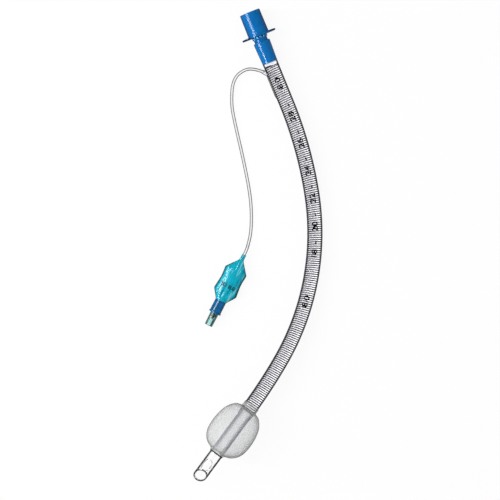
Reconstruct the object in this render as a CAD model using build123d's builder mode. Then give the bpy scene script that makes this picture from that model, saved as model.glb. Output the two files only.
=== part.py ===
from build123d import *

import os
from math import atan, cos, degrees, pi, radians, sin, sqrt

# A wire-reinforced tracheal tube of size 8.0, lying on a table with its cuff inflated.
# All sizes are in millimetres. Stations along the tube are measured from its machine end.

os.makedirs("parts", exist_ok=True)

# Tube, which is named by its inside diameter
lumen_radius = 4.0
shaft_radius = 5.5
tip_radius = 4.9
mouth_radius = 6.1
mouth_flare_length = 18.0
mouth_edge = 0.35
tube_length = 344.1

# Centreline: a straight neck, three arcs that bend the same way, and a straight end
machine_heading = 22.3
neck_straight = 47.7
upper_radius = 287.0
upper_turn = 13.5
middle_radius = 181.0
middle_turn = 39.45
lower_radius = 388.0
lower_turn = 6.3

# Where the machine end of the tube lies on the table
tube_end_x = 3.35
tube_end_y = 145.73

# Connector: the tapered cone of the breathing system's size, flange, neck and spigot
cone_end_radius = 7.5
cone_taper = 1 / 40
cone_length = 17.0
cone_wall = 1.45
cone_edge = 0.3
flange_thickness = 1.4
flange_width = 25.5
flange_disc_radius = 8.4
wing_height = 11.0
neck_radius = 4.95
neck_length = 4.2
rib_count = 14
rib_radius = 0.75
rib_length = 1.7
spigot_length = 16.1
spigot_root_radius = 4.75
spigot_end_radius = 4.35
spigot_wall = 0.95
funnel_length = 4.0

# Clearance between pieces that are glued, welded or stretched over each other
fit_gap = 0.05

# Spiral of wire in the wall of the shaft
wire_radius = 0.27
spiral_radius = 4.5
spiral_pitch = 1.55
spiral_start = 18.4
spiral_past_bend = 0.6
close_pitch = 0.62
close_turns = 1.5
points_per_turn = 8

# Port of the inflation line, the ridge below it and the channel in the wall
port_radius = 1.7
port_depth = 5.4
ridge_radius = 1.5
ridge_offset = 4.6
ridge_start = 25.5
ridge_end = 41.0
channel_width = 0.5
channel_offset = 5.1
channel_start = 27.0
air_hole_back = 0.8
air_hole_depth = 1.2
air_hole_radius = 0.4

# Cuff: a thin film with a collar at each end
cuff_radius = 16.6
cuff_length = 38.3
cuff_from_end = 24.8
film = 0.35
shoulder_roundness = 2.4
shoulder_fullness = 0.57
top_collar_length = 3.6
end_collar_length = 1.6
cuff_facets = 14

# Tip with its side eye and bevel
tip_taper_length = 6.0
eye_from_end = 13.1
eye_length = 8.5
eye_width = 6.0
bevel_length = 8.5
bevel_edge = 0.3

# Inflation line from the port to the balloon's neck, as points on the table
line_radius = 1.15
line_points = [
    (5.2, 123.6, 8.05),
    (0.2, 125.9, 7.2),
    (-8.4, 126.5, 4.9),
    (-17.2, 119.3, 2.5),
    (-18.5, 102.0, 1.25),
    (-16.0, 88.5, 1.2),
    (-9.9, 62.5, 1.2),
    (-5.0, 38.0, 1.2),
    (-3.7, 22.3, 1.2),
    (-4.2, 9.0, 1.2),
    (-6.0, 0.9, 2.6),
]
line_insertion = 3.5
line_lead = 3.2

# Pilot balloon: how thick and how wide the bag is at stations from the end of its neck
balloon_x = -9.0
balloon_y = -7.1
balloon_height = 4.5
balloon_heading = 27.0
balloon_neck_radius = 1.55
balloon_neck_length = 4.7
balloon_film = 0.4
balloon_sections = [(4.7, 1.6, 1.6), (13.2, 3.3, 8.4), (20.5, 4.3, 7.85), (30.2, 3.6, 8.8), (37.2, 4.3, 4.3)]

# Valve sleeve, whose stations go on from the balloon's
sleeve_radius = 4.15
sleeve_stub_radius = 3.8
sleeve_stub_length = 2.6
sleeve_end = 47.0
sleeve_rim_radius = 4.5
sleeve_rim_length = 1.3
seat_shelf = 1.4
shelf_hole_radius = 0.9

# Valve housing with a six per cent socket for a syringe
valve_radius = 3.1
valve_mouth_radius = 2.87
valve_end = 56.9
socket_mouth_radius = 2.14
socket_taper = 0.06
socket_depth = 5.6
web_thickness = 1.4
chamber_radius = 2.3

# Plunger, seal and spring
stem_radius = 1.1
stem_clearance = 0.12
seal_thickness = 0.8
seal_radius = 2.0
disc_radius = 1.9
disc_thickness = 1.0
guide_radius = 0.85
guide_length = 4.0
spring_radius = 1.35
spring_wire = 0.18
spring_turns = 7
plunger_travel = 1.5


def arc_ahead(start, heading, radius, turn):
    """End point and heading of an arc that turns towards the inside of the bend."""
    end_heading = heading - turn
    x = start[0] + radius * (cos(radians(end_heading)) - cos(radians(heading)))
    y = start[1] + radius * (sin(radians(end_heading)) - sin(radians(heading)))
    return (x, y), end_heading


def run_ahead(start, heading, length):
    """End point of a straight run; a heading of zero points down the page."""
    return (start[0] + length * sin(radians(heading)), start[1] - length * cos(radians(heading)))


# The flat plan of the centreline gives the three places that the tube rests on
neck_foot = run_ahead((0, 0), machine_heading, neck_straight)
upper_foot, upper_heading = arc_ahead(neck_foot, machine_heading, upper_radius, upper_turn)
middle_foot, middle_heading = arc_ahead(upper_foot, upper_heading, middle_radius, middle_turn)
lower_foot, tip_heading = arc_ahead(middle_foot, middle_heading, lower_radius, lower_turn)
bend_length = radians(1) * (upper_radius * upper_turn + middle_radius * middle_turn + lower_radius * lower_turn)
tip_start = neck_straight + bend_length
tip_length = tube_length - tip_start
cuff_end = tube_length - cuff_from_end
cuff_start = cuff_end - cuff_length
cuff_middle = (cuff_start + cuff_end) / 2
spiral_end = tip_start + spiral_past_bend


def cuff_outline(inset):
    """The bulge of the cuff: a barrel whose shoulders are rounder than an ellipse's."""
    half_length = (cuff_end - cuff_start) / 2 - inset
    top_neck = shaft_radius + fit_gap + film - inset
    end_neck = tip_radius + fit_gap + film - inset
    outline = []
    for k in range(cuff_facets + 1):
        t = -cos(pi * k / cuff_facets)
        neck = top_neck + (end_neck - top_neck) * (1 + t) / 2
        swell = max(0, 1 - abs(t) ** shoulder_roundness) ** shoulder_fullness
        outline.append((neck + (cuff_radius - inset - neck) * swell, cuff_middle - tip_start + half_length * t))
    return outline


# The tube lies in a leaning plane that puts the flange, the bend and the cuff on the table.
# The lowest point of the bend and of the cuff move as the plane leans, so it is found in steps.
flange_rest = run_ahead((0, 0), machine_heading, -neck_length - flange_thickness / 2)
cuff_rest = run_ahead(lower_foot, tip_heading, cuff_middle - tip_start)
cuff_dx, cuff_dy = cuff_rest[0] - flange_rest[0], cuff_rest[1] - flange_rest[1]
lean_across, lean_along = -0.1, 0
for _ in range(6):
    lowest_heading = degrees(atan(lean_along / lean_across))
    bend_rest, _ = arc_ahead(upper_foot, upper_heading, middle_radius, upper_heading - lowest_heading)
    tip_rise = sin(radians(tip_heading)) * lean_across - cos(radians(tip_heading)) * lean_along
    cuff_reach = max(
        radius * sqrt(1 - tip_rise**2) - (station - cuff_middle + tip_start) * tip_rise
        for radius, station in cuff_outline(0)
    )
    bend_dx, bend_dy = bend_rest[0] - flange_rest[0], bend_rest[1] - flange_rest[1]
    bend_drop = shaft_radius - flange_disc_radius
    cuff_rise = cuff_reach - flange_disc_radius
    spread = bend_dx * cuff_dy - cuff_dx * bend_dy
    lean_across = (bend_drop * cuff_dy - cuff_rise * bend_dy) / spread
    lean_along = (bend_dx * cuff_rise - cuff_dx * bend_drop) / spread
tube_end_height = flange_disc_radius - flange_rest[0] * lean_across - flange_rest[1] * lean_along

across = Vector(sqrt(1 - lean_across**2), 0, lean_across)
along_x = -lean_across * lean_along / sqrt(1 - lean_across**2)
along = Vector(along_x, sqrt(1 - lean_along**2 - along_x**2), lean_along)
tube_plane = Plane(
    origin=(tube_end_x, tube_end_y, tube_end_height),
    x_dir=across,
    z_dir=across.cross(along),
)


def route(first, last):
    """The centreline between two stations, of which one is on the neck and one on the straight end."""
    with BuildLine(tube_plane) as line:
        neck = Line(run_ahead((0, 0), machine_heading, first), neck_foot)
        upper = JernArc(neck @ 1, neck % 1, upper_radius, -upper_turn)
        middle = JernArc(upper @ 1, upper % 1, middle_radius, -middle_turn)
        lower = JernArc(middle @ 1, middle % 1, lower_radius, -lower_turn)
        if last > tip_start:
            Line(lower @ 1, (lower @ 1) + (lower % 1) * (last - tip_start))
    return line.wire()


def axial(frame):
    """A sketch plane through a frame's axis: x is the radius and y the station along the axis."""
    return Plane(origin=frame.origin, x_dir=frame.x_dir, z_dir=-frame.y_dir)


whole_route = route(0, tube_length)
head_frame = Plane(
    origin=whole_route @ 0,
    x_dir=tube_plane.z_dir,
    z_dir=whole_route % 0,
)
tip_frame = Plane(
    origin=(whole_route @ 1) - (whole_route % 1) * tip_length,
    x_dir=tube_plane.z_dir,
    z_dir=whole_route % 1,
)
inner_side = head_frame.y_dir if head_frame.y_dir.X < 0 else -head_frame.y_dir
head_axis = Axis(head_frame.origin, head_frame.z_dir)
tip_axis = Axis(tip_frame.origin, tip_frame.z_dir)

# Connector, whose stations are negative outside the tube
flange_station = -neck_length - flange_thickness
cone_end_station = flange_station - cone_length
cone_base_radius = cone_end_radius + cone_length * cone_taper / 2
cone_bore_radius = cone_end_radius - cone_wall
spigot_bore_radius = spigot_end_radius - spigot_wall

with BuildPart() as connector:
    with BuildSketch(axial(head_frame)):
        with BuildLine():
            Polyline(
                (0, cone_end_station),
                (cone_end_radius - cone_edge, cone_end_station),
                (cone_end_radius, cone_end_station + cone_edge),
                (cone_base_radius, flange_station),
                (cone_base_radius, flange_station + flange_thickness),
                (neck_radius, flange_station + flange_thickness),
                (neck_radius, 0),
                (spigot_root_radius, 0),
                (spigot_end_radius, spigot_length),
                (0, spigot_length),
                close=True,
            )
        make_face()
    revolve(axis=head_axis)
    with BuildSketch(head_frame.offset(flange_station)):
        Circle(flange_disc_radius)
        SlotOverall(flange_width, wing_height, rotation=90)
    extrude(amount=flange_thickness)
    with BuildSketch(head_frame.offset(-neck_length)):
        with PolarLocations(neck_radius, rib_count):
            RegularPolygon(rib_radius, 8)
    extrude(amount=rib_length)
    with BuildSketch(axial(head_frame)):
        with BuildLine():
            Polyline(
                (0, cone_end_station),
                (cone_bore_radius, cone_end_station),
                (cone_bore_radius, flange_station),
                (spigot_bore_radius, flange_station + funnel_length),
                (spigot_bore_radius, spigot_length),
                (0, spigot_length),
                close=True,
            )
        make_face()
    revolve(axis=head_axis, mode=Mode.SUBTRACT)
connector.part.label = "connector"
export_step(connector.part, "parts/connector.step")

# Clear tube: the mouth stretched over the spigot, the shaft, and the plain tip
shaft_route = route(mouth_flare_length, tip_start)
port_frame = Plane(
    origin=line_points[0],
    z_dir=Vector(*line_points[0]) - Vector(*line_points[1]),
)
ridge_frame = Plane(
    origin=head_frame.origin + inner_side * ridge_offset + head_frame.z_dir * ridge_start,
    z_dir=head_frame.z_dir,
)
channel_route = route(channel_start, tip_start)
bevel_top = tip_length - bevel_length
bevel_slope = bevel_length / (2 * tip_radius)

with BuildPart() as tracheal_tube:
    with BuildSketch(axial(head_frame)):
        with BuildLine():
            Polyline(
                (0, 0),
                (mouth_radius - mouth_edge, 0),
                (mouth_radius, mouth_edge),
                (shaft_radius, mouth_flare_length),
                (0, mouth_flare_length),
                close=True,
            )
        make_face()
    revolve(axis=head_axis)
    with BuildSketch(Plane(origin=shaft_route @ 0, x_dir=tube_plane.z_dir, z_dir=shaft_route % 0)):
        Circle(shaft_radius)
    sweep(path=shaft_route)
    with BuildSketch(axial(tip_frame)):
        with BuildLine():
            Polyline(
                (0, 0),
                (shaft_radius, 0),
                (tip_radius, tip_taper_length),
                (tip_radius, tip_length),
                (0, tip_length),
                close=True,
            )
        make_face()
    revolve(axis=tip_axis)
    with BuildSketch(ridge_frame):
        Circle(ridge_radius)
    extrude(amount=ridge_end - ridge_start)
    with BuildSketch(port_frame):
        Circle(port_radius)
    extrude(amount=port_depth)
    with BuildSketch(axial(head_frame)):
        with BuildLine():
            Polyline(
                (0, 0),
                (spigot_root_radius + fit_gap, 0),
                (spigot_end_radius + fit_gap, spigot_length),
                (lumen_radius, spigot_length + fit_gap),
                (lumen_radius, mouth_flare_length),
                (0, mouth_flare_length),
                close=True,
            )
        make_face()
    revolve(axis=head_axis, mode=Mode.SUBTRACT)
    with BuildSketch(Plane(origin=shaft_route @ 0, x_dir=tube_plane.z_dir, z_dir=shaft_route % 0)):
        Circle(lumen_radius)
    sweep(path=shaft_route, mode=Mode.SUBTRACT)
    with BuildSketch(tip_frame):
        Circle(lumen_radius)
    extrude(amount=tip_length, mode=Mode.SUBTRACT)
    with BuildSketch(axial(tip_frame)):
        with BuildLine():
            Polyline(
                (tip_radius * 2, bevel_top - bevel_slope * tip_radius),
                (-tip_radius, tip_length),
                (tip_radius * 2, tip_length),
                close=True,
            )
        make_face()
    extrude(amount=tip_radius + fit_gap, both=True, mode=Mode.SUBTRACT)
    bevel_face = tracheal_tube.faces().filter_by(GeomType.PLANE).sort_by(tip_axis)[-1]
    fillet(bevel_face.edges(), bevel_edge)
    eye_centre = tip_frame.origin + tip_frame.z_dir * (tip_length - eye_from_end)
    with BuildSketch(Plane(origin=eye_centre, x_dir=tip_frame.z_dir, z_dir=-tube_plane.z_dir)):
        SlotOverall(eye_length, eye_width)
    extrude(amount=2 * tip_radius, mode=Mode.SUBTRACT)
    channel_foot = (channel_route @ 0) + inner_side * channel_offset
    with BuildSketch(Plane(origin=channel_foot, x_dir=tube_plane.z_dir, z_dir=channel_route % 0)):
        Rectangle(channel_width, channel_width)
    sweep(path=channel_route, mode=Mode.SUBTRACT)
    air_hole_foot = tip_frame.origin - tip_frame.z_dir * air_hole_back + tip_frame.y_dir * channel_offset
    with BuildSketch(Plane(origin=air_hole_foot, z_dir=tip_frame.y_dir)):
        Circle(air_hole_radius)
    extrude(amount=air_hole_depth, mode=Mode.SUBTRACT)
tracheal_tube.part.label = "tracheal_tube"
export_step(tracheal_tube.part, "parts/tracheal_tube.step")


# Spiral of wire, laid by a turning radius that travels along the centreline
def spiral_stations():
    """Station of each corner of the spiral: slow over the close end turns, even between them."""
    close_step = close_pitch / points_per_turn
    close_steps = int(close_turns * points_per_turn)
    close_length = close_step * close_steps
    open_length = spiral_end - spiral_start - 2 * close_length
    open_steps = round(open_length / spiral_pitch * points_per_turn)
    stations = [spiral_start + close_step * k for k in range(close_steps)]
    stations += [spiral_start + close_length + open_length * k / open_steps for k in range(open_steps)]
    stations += [spiral_end - close_length + close_step * k for k in range(close_steps + 1)]
    return stations


def spiral_corner(index, station):
    """A corner of the spiral, one step further round than the last."""
    angle = 2 * pi * index / points_per_turn
    on_axis = whole_route.position_at(station, position_mode=PositionMode.LENGTH)
    forward = whole_route.tangent_at(station, position_mode=PositionMode.LENGTH)
    sideways = forward.cross(tube_plane.z_dir)
    return on_axis + tube_plane.z_dir * (spiral_radius * cos(angle)) + sideways * (spiral_radius * sin(angle))


spiral = [spiral_corner(index, station) for index, station in enumerate(spiral_stations())]
with BuildPart() as reinforcing_wire:
    with BuildLine():
        Polyline(*spiral)
    with BuildSketch(Plane(origin=spiral[0], z_dir=spiral[1] - spiral[0])):
        RegularPolygon(wire_radius, 3)
    sweep(transition=Transition.RIGHT)
reinforcing_wire.part.label = "reinforcing_wire"
export_step(reinforcing_wire.part, "parts/reinforcing_wire.step")


# Cuff: the outer outline from collar to collar, and back along the inside of the film
top_collar = cuff_start - top_collar_length - tip_start
end_collar = cuff_end + end_collar_length - tip_start
with BuildPart() as cuff:
    with BuildSketch(axial(tip_frame)):
        with BuildLine():
            Polyline(
                (shaft_radius + fit_gap, top_collar),
                (shaft_radius + fit_gap + film, top_collar),
                *cuff_outline(0),
                (tip_radius + fit_gap + film, end_collar),
                (tip_radius + fit_gap, end_collar),
                *reversed(cuff_outline(film)),
                close=True,
            )
        make_face()
    revolve(axis=tip_axis)
cuff.part.label = "cuff"
export_step(cuff.part, "parts/cuff.step")

# Balloon and valve share an axis that lies level above the table
balloon_axis = Vector(-sin(radians(balloon_heading)), -cos(radians(balloon_heading)), 0)
balloon_frame = Plane(
    origin=(balloon_x, balloon_y, balloon_height),
    x_dir=(0, 0, 1),
    z_dir=balloon_axis,
)
valve_axis = Axis(balloon_frame.origin, balloon_frame.z_dir)
bag_end = balloon_sections[-1][0]

with BuildPart() as pilot_balloon:
    for station, thick, wide in balloon_sections:
        with BuildSketch(balloon_frame.offset(station)):
            Ellipse(thick, wide)
    loft(ruled=True)
    with BuildSketch(balloon_frame):
        Circle(balloon_neck_radius)
    extrude(amount=balloon_neck_length)
    for station, thick, wide in balloon_sections:
        with BuildSketch(balloon_frame.offset(station)):
            Ellipse(thick - balloon_film, wide - balloon_film)
    loft(ruled=True, mode=Mode.SUBTRACT)
    with BuildSketch(balloon_frame):
        Circle(line_radius + fit_gap)
    extrude(amount=balloon_neck_length, mode=Mode.SUBTRACT)
    with BuildSketch(balloon_frame.offset(bag_end - sleeve_stub_length)):
        Circle(sleeve_stub_radius + fit_gap)
    extrude(amount=sleeve_stub_length, mode=Mode.SUBTRACT)
pilot_balloon.part.label = "pilot_balloon"
export_step(pilot_balloon.part, "parts/pilot_balloon.step")

# Inflation line: straight runs joined by arcs as large as the runs allow
line_path_points = [Vector(*point) for point in line_points]
line_path_points.append(balloon_frame.origin - balloon_axis * line_lead)
line_path_points.append(balloon_frame.origin + balloon_axis * line_insertion)
line_runs = [b - a for a, b in zip(line_path_points, line_path_points[1:])]
line_bends = []
for before, after in zip(line_runs, line_runs[1:]):
    half_turn = radians(before.get_angle(after)) / 2
    line_bends.append(0.45 * min(before.length, after.length) * cos(half_turn) / sin(half_turn))
print("inflation line bend radii", [round(bend, 1) for bend in line_bends])

with BuildPart() as inflation_line:
    with BuildLine() as line_path:
        FilletPolyline(*line_path_points, radius=line_bends)
    with BuildSketch(Plane(origin=line_path_points[0], z_dir=line_runs[0])):
        Circle(line_radius)
    sweep()
line_length = line_path.wire().length
print("inflation line length", round(line_length, 1))
print("volume over section times length", inflation_line.part.volume / (pi * line_radius**2 * line_length))
inflation_line.part.label = "inflation_line"
export_step(inflation_line.part, "parts/inflation_line.step")

# Valve sleeve: a stub in the balloon, a body with a rim, and a shelf that the spring stands on
stub_start = bag_end - sleeve_stub_length
shelf_top = bag_end + seat_shelf
with BuildPart() as valve_sleeve:
    with BuildSketch(axial(balloon_frame)):
        with BuildLine():
            Polyline(
                (shelf_hole_radius, stub_start),
                (sleeve_stub_radius, stub_start),
                (sleeve_stub_radius, bag_end),
                (sleeve_radius, bag_end),
                (sleeve_radius, sleeve_end - sleeve_rim_length),
                (sleeve_rim_radius, sleeve_end - sleeve_rim_length),
                (sleeve_rim_radius, sleeve_end),
                (valve_radius + fit_gap, sleeve_end),
                (valve_radius + fit_gap, shelf_top),
                (shelf_hole_radius, shelf_top),
                close=True,
            )
        make_face()
    revolve(axis=valve_axis)
valve_sleeve.part.label = "valve_sleeve"
export_step(valve_sleeve.part, "parts/valve_sleeve.step")

# Valve housing: chamber, web with the stem's hole, and the syringe's socket
socket_floor = valve_end - socket_depth
web_underside = socket_floor - web_thickness
socket_floor_radius = socket_mouth_radius - socket_depth * socket_taper / 2
with BuildPart() as valve_body:
    with BuildSketch(axial(balloon_frame)):
        with BuildLine():
            Polyline(
                (chamber_radius, shelf_top),
                (valve_radius, shelf_top),
                (valve_radius, sleeve_end),
                (valve_mouth_radius, valve_end),
                (socket_mouth_radius, valve_end),
                (socket_floor_radius, socket_floor),
                (stem_radius + stem_clearance, socket_floor),
                (stem_radius + stem_clearance, web_underside),
                (chamber_radius, web_underside),
                close=True,
            )
        make_face()
    revolve(axis=valve_axis)
valve_body.part.label = "valve_body"
export_step(valve_body.part, "parts/valve_body.step")

# Plunger: stem through the web, disc under the seal, and the pin that guides the spring
disc_top = web_underside - seal_thickness
disc_underside = disc_top - disc_thickness
with BuildPart() as valve_plunger:
    with BuildSketch(axial(balloon_frame)):
        with BuildLine():
            Polyline(
                (0, disc_underside - guide_length),
                (guide_radius, disc_underside - guide_length),
                (guide_radius, disc_underside),
                (disc_radius, disc_underside),
                (disc_radius, disc_top),
                (stem_radius, disc_top),
                (stem_radius, socket_floor),
                (0, socket_floor),
                close=True,
            )
        make_face()
    revolve(axis=valve_axis)
valve_plunger.part.label = "valve_plunger"
export_step(valve_plunger.part, "parts/valve_plunger.step")

with BuildPart() as valve_seal:
    with BuildSketch(balloon_frame.offset(disc_top)):
        Circle(seal_radius)
        Circle(stem_radius + fit_gap, mode=Mode.SUBTRACT)
    extrude(amount=seal_thickness)
valve_seal.part.label = "valve_seal"
export_step(valve_seal.part, "parts/valve_seal.step")

# Spring between the sleeve's shelf and the disc
spring_bottom = shelf_top + spring_wire
spring_pitch = (disc_underside - shelf_top - 2 * spring_wire) / spring_turns
coil = []
for k in range(spring_turns * points_per_turn + 1):
    coil_angle = 2 * pi * k / points_per_turn
    coil_place = balloon_frame.origin + balloon_axis * (spring_bottom + spring_pitch * k / points_per_turn)
    coil_place += balloon_frame.x_dir * (spring_radius * cos(coil_angle))
    coil.append(coil_place + balloon_frame.y_dir * (spring_radius * sin(coil_angle)))
with BuildPart() as valve_spring:
    with BuildLine():
        Polyline(*coil)
    with BuildSketch(Plane(origin=coil[0], z_dir=coil[1] - coil[0])):
        RegularPolygon(spring_wire, 4)
    sweep(transition=Transition.RIGHT)
valve_spring.part.label = "valve_spring"
export_step(valve_spring.part, "parts/valve_spring.step")

# Places that the record of the part states
for name, place in {
    "tube plane": tube_plane.z_dir,
    "head axis": head_frame.z_dir,
    "cone end": head_frame.origin + head_frame.z_dir * cone_end_station,
    "flange": head_frame.origin + head_frame.z_dir * flange_station,
    "tip axis": tip_frame.z_dir,
    "eye": eye_centre,
    "mouth of the tip": tip_frame.origin + tip_frame.z_dir * (bevel_top + tip_length) * 0.5,
    "valve axis": balloon_axis,
    "valve mouth": balloon_frame.origin + balloon_axis * valve_end,
}.items():
    print(name, tuple(round(number, 3) for number in place))
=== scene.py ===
"""Looks of a wire-reinforced tracheal tube that lies on a table with its cuff inflated.

Lengths in the formulas are in millimetres and go into the meshes in metres. The tube lies in a leaning
plane, and every round piece on it is a surface of two parameters: a station along the centreline, and an
angle that is 0 on the upper side and 90 degrees on the inner side of the bend.
"""

import bmesh
import bpy
import numpy as np
from bpy.props import FloatProperty, FloatVectorProperty, IntProperty, PointerProperty
from bpy.types import Operator, Panel, PropertyGroup
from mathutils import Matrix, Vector


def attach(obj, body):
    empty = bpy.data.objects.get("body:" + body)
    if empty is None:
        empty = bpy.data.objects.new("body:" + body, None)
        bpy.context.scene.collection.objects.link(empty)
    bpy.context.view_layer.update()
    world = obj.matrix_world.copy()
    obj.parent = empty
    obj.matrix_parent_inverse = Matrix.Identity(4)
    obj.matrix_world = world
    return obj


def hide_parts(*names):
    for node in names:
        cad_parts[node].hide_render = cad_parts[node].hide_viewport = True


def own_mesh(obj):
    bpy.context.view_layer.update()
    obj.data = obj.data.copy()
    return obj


bl_info = {
    "name": "Tracheal tube",
    "version": (1, 0, 0),
    "blender": (4, 5, 0),
    "location": "3D view > Sidebar > Tube",
    "description": "Builds the looks of a reinforced tracheal tube round its packed frame",
    "category": "Add Mesh",
}

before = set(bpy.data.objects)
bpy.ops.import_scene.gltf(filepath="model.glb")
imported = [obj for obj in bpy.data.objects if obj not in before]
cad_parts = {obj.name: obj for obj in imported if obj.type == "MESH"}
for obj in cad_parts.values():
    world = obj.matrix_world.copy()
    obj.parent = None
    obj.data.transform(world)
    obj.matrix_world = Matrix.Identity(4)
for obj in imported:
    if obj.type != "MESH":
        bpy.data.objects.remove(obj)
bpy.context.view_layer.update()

MM = 0.001

# The leaning plane of the centreline, with the middle of the tube's machine end as its origin
ACROSS = np.array([0.990626, 0.0, -0.136603])
ALONG = np.array([-0.002788, 0.999792, -0.020215])
UPWARDS = np.array([0.136574, 0.020406, 0.99042])
MACHINE_END = np.array([3.35, 145.73, 8.23766])

# Centreline: straight neck, three arcs that bend the same way, straight end (heading in degrees)
MACHINE_HEADING = 22.3
NECK = 47.7
ARCS = ((287.0, 13.5), (181.0, 39.45), (388.0, 6.3))
TUBE_LENGTH = 344.1
TIP_START = 282.61

# Balloon and valve share a level axis
BALLOON_START = np.array([-9.0, -7.1, 4.5])
BALLOON_AXIS = np.array([-0.45399, -0.891007, 0.0])
BALLOON_SIDE = np.array([-0.891007, 0.45399, 0.0])
STRAIGHT_UP = np.array([0.0, 0.0, 1.0])

# Radii of the tube, what is cut into its tip, and the disc of the connector's flange
MOUTH_RADIUS = 6.1
SHAFT_RADIUS = 5.5
TIP_RADIUS = 4.9
LUMEN_RADIUS = 4.0
BEVEL_LENGTH = 8.5
EYE_STATION = 331.0
FLANGE_RADIUS = 8.4

# The clear wall magnifies the spiral nearly to the outline, so it is drawn near the outside of the wall
WIRE_AT = 5.05

# Stations between which one look of the wall gives way to the next
MOUTH_TO_SHAFT = (15.9, 16.5)
SHAFT_TO_MISTY = (281.0, 284.5)
MISTY_FADES = (319.6, 320.6)
TIP_STARTS = (319.8, 320.8)


def centreline(station):
    """Points, tangents and inner sides of the centreline at stations of any array shape.

    The heading falls by the turn of each arc in proportion to the length gone along it. A point on an arc is
    its foot plus the radius times the change of (cosine, sine) of the heading, as on any circle.
    """
    station = np.asarray(station, float)
    heading = np.full(station.shape, np.radians(MACHINE_HEADING))
    run = np.minimum(station, NECK)
    u = run * np.sin(heading)
    v = -run * np.cos(heading)
    start = NECK
    for radius, turn in ARCS:
        gone = np.clip((station - start) / radius, 0, np.radians(turn))
        u = u + radius * (np.cos(heading - gone) - np.cos(heading))
        v = v + radius * (np.sin(heading - gone) - np.sin(heading))
        heading = heading - gone
        start += radius * np.radians(turn)
    run = np.maximum(station - start, 0)
    u = u + run * np.sin(heading)
    v = v - run * np.cos(heading)
    point = MACHINE_END + u[..., None] * ACROSS + v[..., None] * ALONG
    tangent = np.sin(heading)[..., None] * ACROSS - np.cos(heading)[..., None] * ALONG
    return point, tangent, np.cross(tangent, UPWARDS)


def on_tube(station, angle, radius):
    """Points at a radius from the centreline: centre + radius x (cos angle up + sin angle to the inner side)."""
    point, _, inner = centreline(station)
    around = np.cos(angle)[..., None] * UPWARDS + np.sin(angle)[..., None] * inner
    return point + radius[..., None] * around


def by_valve(station, side, up):
    """Points beside and above the balloon's level axis, which starts at the end of the balloon's neck."""
    point = BALLOON_START + station[..., None] * BALLOON_AXIS
    return point + side[..., None] * BALLOON_SIDE + up[..., None] * STRAIGHT_UP


def on_valve(station, angle, radius):
    """Points round that axis: side = radius x sin angle, up = radius x cos angle."""
    return by_valve(station, radius * np.sin(angle), radius * np.cos(angle))


def angles(count):
    """Evenly spread angles of a full turn."""
    return np.linspace(0, 2 * np.pi, count, endpoint=False)


def unit(vectors):
    """Vectors divided by their lengths."""
    return vectors / np.linalg.norm(vectors, axis=-1, keepdims=True)


def softened(corners, cuts, steps=4, closed=False):
    """A profile with each corner replaced by a quadratic curve between points cut back along its two sides.

    With a and b the two points and c the corner, the curve is (1-t)^2 a + 2t(1-t) c + t^2 b. Columns past the
    first two, such as how much of a wing a row has, are carried along in the same way.
    """
    corners = np.asarray(corners, float)
    cuts = np.broadcast_to(np.asarray(cuts, float), len(corners)).copy()
    if not closed:
        cuts[[0, -1]] = 0
    ends = []
    for neighbour in (1, -1):
        way = np.roll(corners, neighbour, axis=0) - corners
        reach = np.maximum(np.linalg.norm(way[:, :2], axis=1), 1e-9)
        ends.append(corners + way * np.minimum(cuts / reach, 0.45)[:, None])
    a, b = ends
    t = np.linspace(0, 1, steps)[None, :, None]
    curve = (1 - t) ** 2 * a[:, None] + 2 * t * (1 - t) * corners[:, None] + t**2 * b[:, None]
    return curve.reshape(-1, corners.shape[1])


def smooth_through(points, count):
    """Catmull-Rom curve through points of any dimension, as count rows evenly spread over its spans."""
    points = np.asarray(points, float)
    padded = np.vstack([2 * points[0] - points[1], points, 2 * points[-1] - points[-2]])
    place = np.linspace(0, len(points) - 1, count)
    span = np.minimum(place.astype(int), len(points) - 2)
    t = (place - span)[:, None]
    p0, p1, p2, p3 = padded[span], padded[span + 1], padded[span + 2], padded[span + 3]
    return 0.5 * (
        2 * p1 + (p2 - p0) * t + (2 * p0 - 5 * p1 + 4 * p2 - p3) * t**2 + (3 * p1 - p0 - 3 * p2 + p3) * t**3
    )


def step_up(value, low, high):
    """Smooth step: 3t^2 - 2t^3 of how far value has gone from low to high."""
    t = np.clip((value - low) / (high - low), 0, 1)
    return t * t * (3 - 2 * t)


def grid_faces(rows, columns, wrap_rows=False):
    """Corner numbers of the quads of a grid of points whose columns go right round, as rows x columns x 4."""
    i = np.arange(rows if wrap_rows else rows - 1)
    i0, j0 = np.meshgrid(i, np.arange(columns), indexing="ij")
    i1, j1 = (i0 + 1) % rows, (j0 + 1) % columns
    return np.stack([i0 * columns + j0, i0 * columns + j1, i1 * columns + j1, i1 * columns + j0], axis=-1)


def new_object(name, data):
    """An object of a mesh, curve, lamp or camera, linked to the scene."""
    item = bpy.data.objects.new(name, data)
    bpy.context.scene.collection.objects.link(item)
    return item


def make_piece(name, points, faces, values=None):
    """An object from points in millimetres and quads, with its faces pointing outwards and smooth shading.

    Six times its signed volume, the sum over quads of a . (b x c + c x d), tells which way the faces point.
    Values are numbers kept for each point under a name, which a material can read.
    """
    points = np.asarray(points, float).reshape(-1, 3) * MM
    faces = np.asarray(faces).reshape(-1, 4)
    centre = points.mean(axis=0)
    a, b, c, d = (points[faces[:, k]] - centre for k in range(4))
    if np.einsum("ij,ij->i", a, np.cross(b, c) + np.cross(c, d)).sum() < 0:
        faces = faces[:, ::-1]
    mesh = bpy.data.meshes.new(name)
    mesh.from_pydata(points.tolist(), [], faces.tolist())
    mesh.validate(clean_customdata=False)
    for key, numbers in (values or {}).items():
        attribute = mesh.attributes.new(key, "FLOAT", "POINT")
        attribute.data.foreach_set("value", np.ascontiguousarray(numbers, np.float32).reshape(-1))
    mesh.shade_smooth()
    return new_object(name, mesh)


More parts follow.
